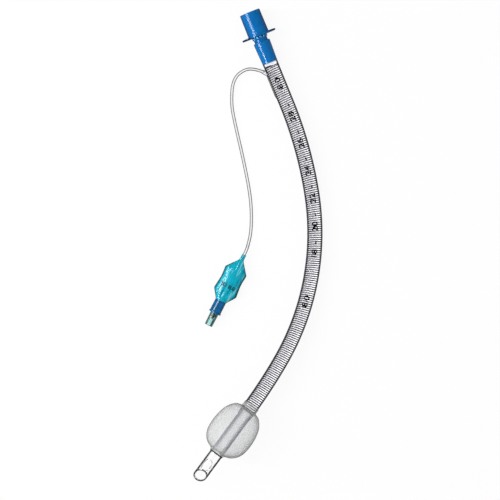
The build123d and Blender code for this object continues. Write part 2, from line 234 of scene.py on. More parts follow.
def turned(name, profile, place, around=96, wing=None, values=None, closed=True):
    """A round piece: a profile of (radius, station) rows carried round its axis by a placing function.

    Wing gives an added radius for each angle and row. A profile that isn't closed ends on the axis.
    """
    profile = np.asarray(profile, float)
    angle = angles(around)
    radius = np.repeat(profile[:, :1], around, axis=1)
    if wing is not None:
        radius = radius + wing(profile, angle)
    station = np.repeat(profile[:, 1:2], around, axis=1)
    points = place(station, np.repeat(angle[None], len(profile), axis=0), radius)
    faces = grid_faces(len(profile), around, wrap_rows=closed)
    return make_piece(name, points, faces, {"station": station, "radius": radius, **(values or {})})


def coiled(name, place, station, spin, radius, thick, sides, values=None):
    """A wire wound round an axis by a placing function: a ring of points round each point of its path.

    The ring's first direction points away from the axis and its second is the way forward x the first. The
    wire narrows to a point at both ends.
    """
    centre = place(station, spin, np.full(len(spin), radius))
    outwards = (centre - place(station, spin, np.zeros(len(spin)))) / radius
    forward = unit(np.gradient(centre, axis=0))
    thickness = np.full(len(spin), thick)
    thickness[[0, -1]] = 1e-4
    ring = angles(sides)[None, :, None]
    around = np.cos(ring) * outwards[:, None] + np.sin(ring) * np.cross(forward, outwards)[:, None]
    points = centre[:, None] + thickness[:, None, None] * around
    return make_piece(name, points, grid_faces(len(spin), sides), values)


def face_outwards(piece):
    """Turns all faces of a closed mesh outwards."""
    work = bmesh.new()
    work.from_mesh(piece.data)
    bmesh.ops.recalc_face_normals(work, faces=work.faces)
    work.to_mesh(piece.data)
    work.free()


def printed(name, text, size, lay, material, slot):
    """Text as a thin mesh on the object: lay gives the places of its flat points, which are scaled by size.

    With a size of 1 the figures are about 0.7 high, and the text is centred on the origin.
    """
    curve = bpy.data.curves.new(name, "FONT")
    curve.body = text
    curve.size = 1.0
    curve.align_x = curve.align_y = "CENTER"
    curve.resolution_u = 3
    curve.offset = 0.03
    source = new_object(name, curve)
    bpy.context.view_layer.update()
    mesh = bpy.data.meshes.new_from_object(source.evaluated_get(bpy.context.evaluated_depsgraph_get()))
    bpy.data.objects.remove(source)
    flat = np.empty(len(mesh.vertices) * 3)
    mesh.vertices.foreach_get("co", flat)
    flat = flat.reshape(-1, 3) * size
    mesh.vertices.foreach_set("co", (lay(flat[:, 0], flat[:, 1]) * MM).reshape(-1))
    mesh.update()
    dress(new_object(name, mesh), "tube", material, slot)


def dress(piece, body, material, slot, *nodes):
    """Gives a finished piece its material and body, and hides the frame's nodes that it stands for. Its slot is not
    used.
    """
    piece.data.materials.clear()
    piece.data.materials.append(material)
    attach(piece, body)
    if nodes:
        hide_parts(*nodes)


class Value:
    """An output socket of a material or world, on which Python's operators add Math nodes."""

    def __init__(self, finish, socket):
        self.finish = finish
        self.socket = socket

    def maths(self, operation, *numbers):
        return self.finish.add("ShaderNodeMath", {"operation": operation}, dict(enumerate(numbers)))

    def __add__(self, other):
        return self.maths("ADD", self, other)

    def most(self, other):
        """The larger of the two numbers."""
        return self.maths("MAXIMUM", self, other)

    def __rsub__(self, other):
        return self.maths("SUBTRACT", other, self)

    def __mul__(self, other):
        return self.maths("MULTIPLY", self, other)

    __radd__ = __add__
    __rmul__ = __mul__


def shade(colour, share):
    """A colour darkened or lightened by a share."""
    return tuple(share * c for c in colour)


class Finish:
    """A material or world that is being built: add() makes any node and returns one of its outputs."""

    def __init__(self, name, world=False):
        self.owner = (bpy.data.worlds if world else bpy.data.materials).new(name)
        self.owner.use_nodes = True
        self.last = "ShaderNodeOutputWorld" if world else "ShaderNodeOutputMaterial"
        self.tree = self.owner.node_tree
        self.tree.nodes.clear()

    def add(self, kind, settings=None, inputs=None, output=0):
        """A node of a kind, its settings first, then values or links of its sockets."""
        node = self.tree.nodes.new(kind)
        for key, setting in (settings or {}).items():
            setattr(node, key, setting)
        for key, value in (inputs or {}).items():
            socket = node.inputs[key]
            if isinstance(value, Value):
                self.tree.links.new(value.socket, socket)
            elif socket.type == "RGBA":
                socket.default_value = (*value[:3], 1.0)
            else:
                socket.default_value = value
        return Value(self, node.outputs[output])

    def done(self, shader):
        """The finished material or world."""
        self.tree.links.new(shader.socket, self.tree.nodes.new(self.last).inputs["Surface"])
        return self.owner

    def grained(self, grain_mm, first, second, **sockets):
        """The finished material of a plain shader whose colour goes from first to second in grains."""
        tone = self.blend(self.noise(grain_mm), first, second)
        return self.done(self.plain(Base_Color=tone, **sockets))

    def seen(self):
        """1 for rays that show in the picture, straight, mirrored or through clear pieces, and 0 for others."""
        seen = self.add("ShaderNodeLightPath", output="Is Camera Ray")
        for key in ("Is Glossy Ray", "Is Transmission Ray"):
            seen = seen.most(self.add("ShaderNodeLightPath", output=key))
        return seen

    def place(self):
        return self.add("ShaderNodeTexCoord", output="Object")

    def noise(self, size_mm, detail=2.0, where=None):
        """Noise from 0 to 1 whose blobs are about size_mm across."""
        inputs = {"Vector": where or self.place(), "Scale": 1000.0 / size_mm, "Detail": detail}
        return self.add("ShaderNodeTexNoise", inputs=inputs, output="Fac")

    def kept(self, name):
        """The number that the mesh keeps for each point under a name."""
        return self.add("ShaderNodeAttribute", {"attribute_name": name}, output="Fac")

    def facing(self):
        """0 where the surface faces the eye and 1 at its rim."""
        return self.add("ShaderNodeLayerWeight", inputs={"Blend": 0.5}, output="Facing")

    def ramp(self, value, low, high):
        """Smoothly from 0 to 1 while value goes from low to high."""
        inputs = {"Value": value, "From Min": low, "From Max": high}
        return self.add("ShaderNodeMapRange", {"interpolation_type": "SMOOTHSTEP"}, inputs)

    def blend(self, amount, first, second):
        """From the first colour to the second as amount goes from 0 to 1."""
        inputs = {0: amount, 6: first, 7: second}
        return self.add("ShaderNodeMix", {"data_type": "RGBA"}, inputs, output=2)

    def bump(self, height, strength, distance_mm):
        inputs = {"Height": height, "Strength": strength, "Distance": distance_mm * MM}
        return self.add("ShaderNodeBump", inputs=inputs)

    def mix(self, factor, first, second):
        return self.add("ShaderNodeMixShader", inputs={0: factor, 1: first, 2: second})

    def plain(self, **sockets):
        """A Principled shader with sockets named in words, such as Base_Color."""
        inputs = {key.replace("_", " "): value for key, value in sockets.items()}
        return self.add("ShaderNodeBsdfPrincipled", inputs=inputs)

    def clear(self, colour):
        return self.add("ShaderNodeBsdfTransparent", inputs={"Color": colour})


def glazed(finish, body, rough, share, index=1.45, **sockets):
    """The finished material of a body under a clear gloss: a mirror mixed in by a share of the Fresnel number."""
    gloss = finish.plain(Base_Color=(1.0, 1.0, 1.0), Metallic=1.0, Roughness=rough, **sockets)
    fresnel = finish.add("ShaderNodeFresnel", inputs={"IOR": index})
    return finish.done(finish.mix(fresnel * share, body, gloss))


def see_through(name, tint, wall, veil, rim, rim_from, rim_to, rough, shine=0.1):
    """Clear plastic: light passes straight through, tinted, but for a veil, and a rim where the wall is long.

    Towards the outline of a round wall the light runs along the plastic instead of across it, so the share of
    the wall's own colour goes from veil to rim while the facing number goes from rim_from to rim_to.
    """
    finish = Finish(name)
    share = finish.ramp(finish.facing(), rim_from, rim_to) * (rim - veil) + veil
    scuff = finish.noise(1.2) * 0.1 + rough
    body = finish.mix(share, finish.clear(tint), finish.plain(Base_Color=wall, Roughness=scuff))
    return glazed(finish, body, rough, share=shine)


def pvc_by_zone(name, wall, core):
    """The tube's clear wall, whose look changes along it.

    Over the spigot the thick wall bends the light so that the spigot's colour fills it to the outline: that colour is
    painted on the wall, with painted shade towards the outline. Over the shaft only the outline is dark, a painted
    shade, and the inside whitens what lies under it and glows with painted light. Beneath the cuff the wall is misty
    and darkens slowly to its sides as painted shade, and the bare tip has narrow black sides and a black lip, painted
    shade in place of the dark that its clear wall shows. Each zone is a number that is 1 along its stations and 0
    elsewhere.
    """
    finish = Finish(name)
    station, facing = finish.kept("station"), finish.facing()
    inside, lip = finish.kept("inside"), finish.kept("lip")
    outside = 1 - inside
    mouth = 1 - finish.ramp(station, *MOUTH_TO_SHAFT)
    misty = finish.ramp(station, *SHAFT_TO_MISTY) * (1 - finish.ramp(station, *MISTY_FADES))
    tip = finish.ramp(station, *TIP_STARTS)
    shaft = (1 - mouth) * (1 - misty) * (1 - tip)
    streaky = finish.ramp(finish.noise(2.2), 0.42, 0.56)
    # Painted shade: the wall darkens towards its outline over the shaft, under the cuff and along the tip's sides
    shaft_share = outside * finish.ramp(facing, 0.3, 0.52) * 0.8 + inside * finish.kept("low") * 0.64
    misty_share = outside * finish.ramp(facing, 0.0, 0.36) * 0.62
    tip_sides = outside * finish.ramp(facing, 0.26, 0.42) * (streaky * 0.4 + 0.55)
    tip_share = tip_sides + inside * finish.ramp(facing, 0.7, 0.95) * 0.6
    share = mouth * 0.97 + shaft * shaft_share + misty * misty_share + tip * tip_share
    # Painted shade: the black lip round the bevel and round the eye
    share = share.most(lip * (streaky * 0.5 + 0.45))
    black = (0.003, 0.003, 0.005)
    tone = finish.blend(inside, wall, (0.97, 0.97, 1.0))
    tone = finish.blend(misty, tone, (0.13, 0.13, 0.2))
    tone = finish.blend(tip, tone, black)
    # The spigot's colour painted on the mouth's wall, deeper towards the outline as painted shade
    through = finish.blend(finish.ramp(facing, 0.3, 0.95), core, shade(core, 0.3))
    tone = finish.blend(mouth, tone, through)
    tone = finish.blend(lip, tone, black)
    scuff = finish.noise(1.2) * 0.1 + 0.3
    # Painted glow: the whitened inside of the shaft gives off light of its own, in place of light that the clear wall
    # carries up from the bright table, so that it glows between the turns of wire
    painted_glow = finish.blend(inside * shaft, (0.0, 0.0, 0.0), (0.62, 0.62, 0.64))
    plastic = finish.plain(
        Base_Color=tone, Roughness=scuff, Specular_IOR_Level=0.0, Emission_Color=painted_glow, Emission_Strength=1.0
    )
    body = finish.mix(share, finish.clear((0.985, 0.985, 0.99)), plastic)
    gloss = mouth * 0.25 + shaft * 0.04 + misty * 0.02 + tip * 0.12
    return glazed(finish, body, 0.1, share=gloss)


def moulded(name, colour, deep, rough=0.2, shine=0.15, grain_mm=0.6, edge=0.7, wings=False):
    """Glossy moulded plastic: a colour that deepens in blotches and towards its outline, and an uneven gloss.

    Where it is seen edge on its colour is darkened, a painted shade. With wings, what stands out past the flange's
    disc is darker too, also painted shade, and the crests kept as rib are pale, a painted highlight.
    """
    finish = Finish(name)
    blotch = finish.ramp(finish.noise(5.0), 0.3, 0.75)
    tone = finish.blend(blotch, colour, deep)
    # Painted shade: darker towards the outline
    rim = finish.ramp(finish.facing(), 0.25, 0.75) * edge
    # Painted shade on what stands out past the flange's disc
    if wings:
        rim = rim.most(finish.ramp(finish.kept("radius"), 8.5, 9.6) * 0.95)
    tone = finish.blend(rim, tone, shade(deep, 0.2))
    # Painted highlight on the rib crests
    if wings:
        tone = finish.blend(finish.ramp(finish.kept("rib"), 0.5, 0.95) * 0.85, tone, (0.2, 0.68, 0.95))
    gloss = finish.noise(grain_mm, 3.0) * 0.04 + (rough - 0.02)
    dimple = finish.bump(finish.noise(7.0, 1.0), 0.02, 0.03)
    body = finish.plain(Base_Color=tone, Roughness=0.6, Normal=dimple, Specular_IOR_Level=0.0)
    return glazed(finish, body, gloss, share=shine, Normal=dimple)


def colour_setting(name, description, default):
    return FloatVectorProperty(
        name=name, description=description, default=default, size=3, subtype="COLOR", min=0.0, max=1.0
    )


def measure(name, description, default, unit="LENGTH"):
    return FloatProperty(name=name, description=description, default=default, unit=unit, min=0.0)


class TubeSettings(PropertyGroup):
    """The tube, its wire and its print."""

    wall: colour_setting("Wall", "Colour of the clear wall where it is seen edge on", (0.03, 0.03, 0.045))
    wire: colour_setting("Wire", "Colour of the steel spiral", (0.006, 0.006, 0.008))
    wire_radius: measure("Wire radius", "Half the thickness of the spiral's wire", 0.0004)
    wire_pitch: measure("Wire pitch", "Distance between turns of the spiral", 0.00155)
    ink: colour_setting("Ink", "Colour of the depth numbers and marks", (0.002, 0.002, 0.003))
    figure_height: measure("Figure height", "Height of the depth numbers", 0.004)


class ConnectorSettings(PropertyGroup):
    """The blue connector."""

    colour: colour_setting("Colour", "Colour of the moulding", (0.0, 0.158, 0.48))
    rib_count: IntProperty(name="Ribs", description="Ribs round the neck", default=14, min=4, max=40)


class CuffSettings(PropertyGroup):
    """The cuff."""

    film: colour_setting("Film", "Colour of the film where it is seen edge on", (0.08, 0.08, 0.09))
    veil: FloatProperty(
        name="Veil", description="How much the film whitens what is behind it", default=0.16, subtype="FACTOR"
    )


class LineSettings(PropertyGroup):
    """The inflation line."""

    thickness: measure("Thickness", "Outside diameter of the line", 0.0023)
    wall: colour_setting("Wall", "Colour of the line's wall seen edge on", (0.06, 0.06, 0.07))


class BalloonSettings(PropertyGroup):
    """The pilot balloon and its valve."""

    film: colour_setting("Film", "Colour of the balloon's film", (0.0, 0.6, 0.76))
    edge: colour_setting("Edge", "Colour of the film seen edge on", (0.0, 0.09, 0.12))
    sleeve: colour_setting("Sleeve", "Colour of the socket between balloon and valve", (0.0, 0.16, 0.42))
    valve: colour_setting("Valve", "Colour of the valve's housing seen edge on", (0.004, 0.085, 0.09))
    plunger: colour_setting("Plunger", "Colour of the valve's plunger", (0.42, 0.24, 0.06))


class StageSettings(PropertyGroup):
    """Camera, floor and light."""

    lens: measure("Lens", "Focal length on a 36 mm sensor", 200.0, "CAMERA")
    height: measure("Camera height", "Height of the camera above the table", 2.0)
    key: measure("Key light", "Power of the long lamp on the left", 12.0, "POWER")
    fill: measure("Fill light", "Power of the lamp on the right", 2.0, "POWER")
    streak: measure("Streak light", "Power of the panel that glossy pieces reflect", 105.0, "POWER")


class ObjectSettings(PropertyGroup):
    """All the settings of the object."""

    tube: PointerProperty(name="Tube", description="Tube, wire and print", type=TubeSettings)
    connector: PointerProperty(name="Connector", description="Blue connector", type=ConnectorSettings)
    cuff: PointerProperty(name="Cuff", description="Cuff", type=CuffSettings)
    line: PointerProperty(name="Line", description="Inflation line", type=LineSettings)
    balloon: PointerProperty(name="Balloon", description="Balloon and valve", type=BalloonSettings)
    stage: PointerProperty(name="Stage", description="Camera, floor and light", type=StageSettings)


class TUBE_OT_stage(Operator):
    """Camera straight above the table, white floor, and soft light mostly from the left"""

    bl_idname = "tube.stage"
    bl_label = "Stage"

    def lamp(self, name, power, place, size):
        """A rectangular soft lamp that looks at the origin; gives its object."""
        light = bpy.data.lights.new(name, "AREA")
        light.shape = "RECTANGLE"
        light.size, light.size_y = size
        light.energy = power
        lamp = new_object(name, light)
        lamp.location = place
        lamp.rotation_euler = (-Vector(place)).to_track_quat("-Z", "Y").to_euler()
        return lamp

    def execute(self, context):
        settings = context.scene.tube_object.stage
        camera_data = bpy.data.cameras.new("camera")
        camera_data.lens = settings.lens
        camera_data.sensor_width = 36.0
        camera_data.clip_end = 20.0
        camera = new_object("camera", camera_data)
        camera.location = (-0.0049, -0.0037, settings.height)
        context.scene.camera = camera

        finish = Finish("table_white")
        paint = finish.blend(finish.noise(4.0, 3.0), (0.9, 0.9, 0.9), (0.94, 0.94, 0.94))
        lit = finish.plain(Base_Color=paint, Roughness=0.8)
        white = finish.add("ShaderNodeEmission", inputs={"Color": (1.0, 1.0, 1.0), "Strength": 1.0})
        material = finish.done(finish.mix(finish.seen() * 0.92, lit, white))
        half = 2.5
        points = [(-half, -half, 0), (half, -half, 0), (half, half, 0), (-half, half, 0)]
        mesh = bpy.data.meshes.new("floor")
        mesh.from_pydata(points, [], [(0, 1, 2, 3)])
        mesh.materials.append(material)
        floor = new_object("floor", mesh)

        # The sky that lights the object is dimmer than the white that the picture shows
        studio = Finish("studio", world=True)
        sky, backdrop = (
            studio.add("ShaderNodeBackground", inputs={"Color": (1.0, 1.0, 1.0), "Strength": strength})
            for strength in (0.38, 1.0)
        )
        context.scene.world = studio.done(studio.mix(studio.seen(), sky, backdrop))

        key = self.lamp("key", settings.key, (-0.82, 0.1, 0.85), (0.12, 1.3))
        key.visible_glossy = False
        self.lamp("fill", settings.fill, (0.9, -0.2, 0.9), (0.8, 1.0))
        # A wide panel that shows only as the pale streak on glossy pieces
        panel = self.lamp("streak", settings.streak, (-0.83, 0.1, 0.86), (1.6, 0.55))
        panel.visible_diffuse = False
        context.scene.view_settings.view_transform = "Standard"
        context.scene.cycles.transparent_max_bounces = 24
        return {"FINISHED"}


# Route of the inflation line from the tube's port to the balloon's neck, in metres
LINE_ROUTE = (
    (0.0052, 0.1236, 0.00805), (0.0002, 0.1259, 0.0072), (-0.0084, 0.1265, 0.0049), (-0.0172, 0.1193, 0.0025),
    (-0.0185, 0.102, 0.00125), (-0.016, 0.0885, 0.0012), (-0.0099, 0.0625, 0.0012), (-0.005, 0.038, 0.0012),
    (-0.0037, 0.0223, 0.0012), (-0.0042, 0.009, 0.0012), (-0.006, 0.0009, 0.0026),
    (-0.007547, -0.004249, 0.0045), (-0.010589, -0.010219, 0.0045),
)


class TUBE_OT_inflation_line(Operator):
    """Thin clear line that leaves the tube's port, lies on the table and ends in the balloon's neck"""

    bl_idname = "tube.inflation_line"
    bl_label = "Inflation line"

    def execute(self, context):
        settings = context.scene.tube_object.line
        curve = bpy.data.curves.new("inflation_line_clear", "CURVE")
        curve.dimensions = "3D"
        spline = curve.splines.new("NURBS")
        spline.points.add(len(LINE_ROUTE) - 1)
        for point, place in zip(spline.points, LINE_ROUTE):
            point.co = (*place, 1.0)
        spline.order_u = 3
        spline.use_endpoint_u = True
        curve.resolution_u = 10
        curve.bevel_depth = settings.thickness / 2
        curve.bevel_resolution = 5
        curve.use_fill_caps = True
        line = new_object("inflation_line_clear", curve)
        material = see_through(
            "line_clear", (0.97, 0.97, 0.98), settings.wall, 0.02, 0.8, 0.05, 0.18, rough=0.3, shine=0.03
        )
        dress(line, "tube", material, "line_pvc", "inflation_line")
        return {"FINISHED"}


class TUBE_OT_connector(Operator):
    """Blue moulded connector: tapered cone, winged flange, ribbed neck and spigot in one piece"""

    bl_idname = "tube.connector"
    bl_label = "Connector"

    def execute(self, context):
        settings = context.scene.tube_object.connector

        def wings_and_ribs(profile, angle):
            """Added radius: the flange's outline of disc and slot, and a cosine of the angle for the ribs.

            The slot is a box 14.5 long between two half circles of radius 5.5. A ray at an angle psi from its
            length leaves by the flat side at 5.5 / sin psi, or by the end at 7.25 cos psi plus the root of
            5.5^2 - (7.25 sin psi)^2.
            """
            half_box, end_radius = 7.25, 5.5
            along, over = np.abs(np.sin(angle)), np.abs(np.cos(angle))
            flat = end_radius / np.maximum(over, 1e-6)
            end = half_box * along + np.sqrt(np.maximum(end_radius**2 - (half_box * over) ** 2, 0))
            outline = np.where(flat * along < half_box, flat, end)
            wing = np.maximum(outline, FLANGE_RADIUS) - FLANGE_RADIUS
            rib = 0.75 * np.maximum(np.cos(settings.rib_count * angle), 0) ** 0.7
            return profile[:, 2:3] * wing + profile[:, 3:4] * rib

        # Radius, station, how much of the wing and how much of the ribs
        corners = [
            (6.05, -22.6, 0, 0), (7.5, -22.6, 0, 0), (7.71, -5.65, 0, 0), (7.75, -5.6, 0, 0),
            (FLANGE_RADIUS, -5.6, 1, 0), (FLANGE_RADIUS, -4.2, 1, 0), (4.95, -4.2, 0, 0), (4.95, -4.15, 0, 1),
            (4.95, -2.6, 0, 1), (4.9, -2.2, 0, 0), (4.95, 0.0, 0, 0), (4.75, 0.3, 0, 0),
            (4.35, 16.1, 0, 0), (3.4, 16.1, 0, 0), (3.4, -1.6, 0, 0), (6.05, -5.6, 0, 0),
        ]
        cuts = [0.4, 0.4, 0.1, 0.1, 0.35, 0.35, 0.3, 0.1, 0.3, 0.2, 0.2, 0.2, 0.3, 0.3, 1.0, 1.0]
        profile = softened(corners, cuts, closed=True)
        angle = angles(168)
        # Where the rib crests stand, for the painted highlight that the material puts on them
        rib_highlight_mask = profile[:, 3:4] * np.maximum(np.cos(settings.rib_count * angle), 0)
        piece = turned("connector_moulding", profile, on_tube, 168, wing=wings_and_ribs, values={"rib": rib_highlight_mask})
        deep = shade(settings.colour, 0.85)
        # The moulding's outline and wings get painted shade, and its rib crests a painted highlight
        material = moulded(
            "connector_blue_plastic", settings.colour, deep, rough=0.12, shine=0.2, edge=0.85, wings=True
        )
        dress(piece, "tube", material, "connector_blue", "connector")
        return {"FINISHED"}


class TUBE_OT_tube(Operator):
    """Clear tube with its mouth, ridge and port, its side eye and its bevelled tip"""

    bl_idname = "tube.tube"
    bl_label = "Tube"

    def outer_radius(self, station, angle):
        """Outside: 6.1 at the mouth, 5.5 over the shaft, 4.9 at the tip, and the ridge on the inner side.

        The ridge is a circle of radius 1.5 whose centre is 4.6 out. A ray at an angle d from it meets its far
        side at 4.6 cos d plus the root of 1.5^2 - (4.6 sin d)^2. It fades in and out along the tube.
        """
        ridge_out, ridge_radius = 4.6, 1.5
        to_shaft = (MOUTH_RADIUS - SHAFT_RADIUS) * step_up(station, 0, 21)
        to_tip = (SHAFT_RADIUS - TIP_RADIUS) * step_up(station, TIP_START - 1, TIP_START + 7)
        round_part = MOUTH_RADIUS - to_shaft - to_tip
        off = angle - np.pi / 2
        root = np.maximum(ridge_radius**2 - (ridge_out * np.sin(off)) ** 2, 0)
        ridge = np.where(np.cos(off) > 0, ridge_out * np.cos(off) + np.sqrt(root), 0)
        ridge = np.where(root > 0, ridge, 0)
        there = step_up(station, 22.0, 25.5) * (1 - step_up(station, 39.5, 43.0))
        return round_part + there * np.maximum(ridge - round_part, 0)

    def inner_radius(self, station):
        """Inside: just over the spigot, then the lumen's 4.0."""
        return np.where(station < 16.15, 4.8 - 0.4 * station / 16.15, LUMEN_RADIUS)

    def execute(self, context):
        settings = context.scene.tube_object.tube
        around = 96
        angle = angles(around)
        shaft = np.concatenate([
            np.linspace(0.35, 16.1, 14), np.linspace(16.2, 21.0, 5), np.linspace(22.0, 44.0, 23),
            np.linspace(48.0, 280.0, 60), np.linspace(281.0, 292.0, 9), np.linspace(296.0, 318.0, 6),
        ])
        eye_rows, eye_columns = 6, 10
        last = np.linspace(0, 1, 35)[1:]
        tip_from = shaft[-1]
        slope = BEVEL_LENGTH / (2 * TIP_RADIUS)
        half_wall = (TIP_RADIUS - LUMEN_RADIUS) / 2

        def row_stations(radius):
            """Stations of all rows at each angle; the last rows share out the way to the slanting bevel."""
            end = TUBE_LENGTH - slope * (radius * np.cos(angle) + TIP_RADIUS) - half_wall
            tip = tip_from + last[:, None] * (end - tip_from)[None]
            return np.vstack([np.repeat(shaft[:, None], around, axis=1), tip])

        outer_s, inner_s = row_stations(TIP_RADIUS), row_stations(LUMEN_RADIUS)
        rows = len(outer_s)
        turn = np.repeat(angle[None], rows, axis=0)

        # The side eye: a block of rows and columns is pulled out to an oval and left open
        middle_column = around // 2
        middle_row = len(shaft) + int(np.argmin(np.abs(outer_s[len(shaft):, middle_column] - EYE_STATION)))
        i, j = np.meshgrid(np.arange(rows) - middle_row, np.arange(around) - middle_column, indexing="ij")
        x, y = i / eye_rows, j / eye_columns
        ring = np.maximum(np.abs(x), np.abs(y))
        reach = np.maximum((np.abs(x) ** 2.4 + np.abs(y) ** 2.4) ** (1 / 2.4), 1e-6)
        pull = 1 - step_up(ring, 1.0, 2.2)
        half_length, half_turn = 4.25, np.radians(38)
        eye_x, eye_y = half_length * x / reach * ring, half_turn * y / reach * ring
        eye_t = turn + pull * (np.pi + eye_y - turn)
        outer_s = outer_s + pull * (EYE_STATION + eye_x - outer_s)
        inner_s = inner_s + pull * (EYE_STATION + eye_x - inner_s)

        # Lip round the bevel: half a circle from the outer to the inner wall, which follows the slant
        t = np.linspace(0, np.pi, 9)[1:-1, None]
        lip_r = TIP_RADIUS - half_wall + half_wall * np.cos(t) + 0 * angle[None]
        lip_s = TUBE_LENGTH - slope * (lip_r * np.cos(angle[None]) + TIP_RADIUS) - half_wall * (1 - np.sin(t))
        lip_t = np.repeat(angle[None], len(t), axis=0)
        # Rounded edge of the mouth, which is stretched over the spigot
        m = np.linspace(np.pi, 0, 7)[1:-1, None]
        mouth_r = 5.45 + 0.65 * np.cos(m) + 0 * angle[None]
        mouth_s = 0.35 - 0.35 * np.sin(m) + 0 * angle[None]
        mouth_t = np.repeat(angle[None], len(m), axis=0)

        outer_r = self.outer_radius(outer_s, eye_t)
        inner_r = self.inner_radius(inner_s)
        station = np.vstack([outer_s, lip_s, inner_s[::-1], mouth_s])
        spin = np.vstack([eye_t, lip_t, eye_t[::-1], mouth_t])
        radius = np.vstack([outer_r, lip_r, inner_r[::-1], mouth_r])
        total = len(station)
        points = on_tube(station, spin, radius)

        r0, r1 = middle_row - eye_rows, middle_row + eye_rows
        c0, c1 = middle_column - eye_columns, middle_column + eye_columns
        last_row = 2 * rows + len(t) - 1
        row, column = np.arange(total), np.arange(around)
        inner_row = last_row - row - 1
        open_rows = ((row >= r0) & (row < r1)) | ((inner_row >= r0) & (inner_row < r1))
        open_cells = open_rows[:, None] & ((column >= c0) & (column < c1))[None]
        kept_faces = grid_faces(total, around, wrap_rows=True)[~open_cells]

        # Wall of the eye: quads between the oval on the outside and the same oval on the inside
        loop_rows = np.concatenate([
            np.full(c1 - c0, r0), np.arange(r0, r1), np.full(c1 - c0, r1), np.arange(r1, r0, -1)])
        loop_columns = np.concatenate([
            np.arange(c0, c1), np.full(r1 - r0, c1), np.arange(c1, c0, -1), np.full(r1 - r0, c0)])
        outer_loop = loop_rows * around + loop_columns
        inner_loop = (last_row - loop_rows) * around + loop_columns
        wall = np.stack([outer_loop, inner_loop, np.roll(inner_loop, -1), np.roll(outer_loop, -1)], axis=-1)
        inside = np.zeros(total)
        inside[rows + 3: 2 * rows + len(t)] = 1
        lip = np.zeros((total, around))
        lip[rows - 1: rows + len(t) + 1] = 1
        lip.reshape(-1)[outer_loop] = 1
        piece = make_piece(
            "tube_clear", points, np.vstack([kept_faces, wall]),
            {"station": station, "inside": np.repeat(inside, around), "lip": lip, "low": np.cos(spin) < 0},
        )
        face_outwards(piece)
        material = pvc_by_zone("tube_clear_pvc", settings.wall, context.scene.tube_object.connector.colour)
        dress(piece, "tube", material, "clear_pvc", "tracheal_tube")

        # Port: a short sleeve that grows out of the ridge and holds the line
        start = np.array(LINE_ROUTE[0]) / MM
        way = unit(np.array(LINE_ROUTE[0]) - np.array(LINE_ROUTE[1]))
        profile = softened(
            [(1.2, -1.2), (1.45, -1.2), (1.75, 1.5), (2.1, 5.4), (1.2, 5.4)], [0.1, 0.25, 0.8, 0.3, 0.1], closed=True
        )
        side = unit(np.cross(way, STRAIGHT_UP))
        top = np.cross(side, way)

        def on_port(station, spin, radius):
            around_port = np.cos(spin)[..., None] * top + np.sin(spin)[..., None] * side
            return start + station[..., None] * way + radius[..., None] * around_port

        port = turned("line_port", profile, on_port, 32)
        port_material = see_through(
            "port_clear_pvc", (0.97, 0.97, 0.98), settings.wall, 0.05, 0.75, 0.25, 0.7, rough=0.1
        )
        dress(port, "tube", port_material, "clear_pvc")
        return {"FINISHED"}


class TUBE_OT_wire(Operator):
    """Steel spiral in the wall of the shaft, close-wound at both ends"""

    bl_idname = "tube.wire"
    bl_label = "Wire spiral"

    def execute(self, context):
        settings = context.scene.tube_object.tube
        start, end, pitch, close = 18.4, 283.2, settings.wire_pitch / MM, 0.62
        close_turns, steps = 1.5, 16
        open_turns = round((end - start - 2 * close * close_turns) / pitch)
        turns = np.linspace(0, open_turns + 2 * close_turns, int((open_turns + 2 * close_turns) * steps) + 1)
        knots_turn = [0, close_turns, close_turns + open_turns, 2 * close_turns + open_turns]
        knots_station = [start, start + close * close_turns, end - close * close_turns, end]
        station = np.interp(turns, knots_turn, knots_station)
        sides = 6
        piece = coiled(
            "wire_spiral", on_tube, station, 2 * np.pi * turns, WIRE_AT, settings.wire_radius / MM, sides,
            {"station": np.repeat(station, sides)},
        )
        material = Finish("wire_steel_drawn").grained(
            1.5, settings.wire, shade(settings.wire, 0.7), Roughness=0.4, Specular_IOR_Level=0.1
        )
        dress(piece, "tube", material, "wire_steel", "reinforcing_wire")
        return {"FINISHED"}


class TUBE_OT_depth_print(Operator):
    """Depth numbers, a size number and short marks, printed along the upper side of the tube"""

    bl_idname = "tube.depth_print"
    bl_label = "Print"

    def execute(self, context):
        settings = context.scene.tube_object.tube
        material = Finish("ink_black").grained(
            0.4, settings.ink, shade(settings.ink, 3), Roughness=0.5, Specular_IOR_Level=0.0
        )
        size = settings.figure_height / MM / 0.7

        def mark(name, text, station):
            """Text bent round the tube just off its wall: its line runs along the station towards the mouth."""

            def lay(x, y):
                return on_tube(station - 1.25 * x, 0.1 + y / SHAFT_RADIUS, np.full(len(x), SHAFT_RADIUS + 0.04))

            printed(name, text, size, lay, material, "clear_pvc")

        for number, station in ((28, 58.0), (26, 78.2), (24, 98.4), (22, 118.6), (20, 139.0), (18, 159.0)):
            mark(f"depth_{number}", str(number), station)
            mark(f"tick_{number}", "-", station - 8.5)
        mark("size_mark", "8.0", 193.5)
        mark("size_mark_upper", "8.0", 32.5)
        return {"FINISHED"}


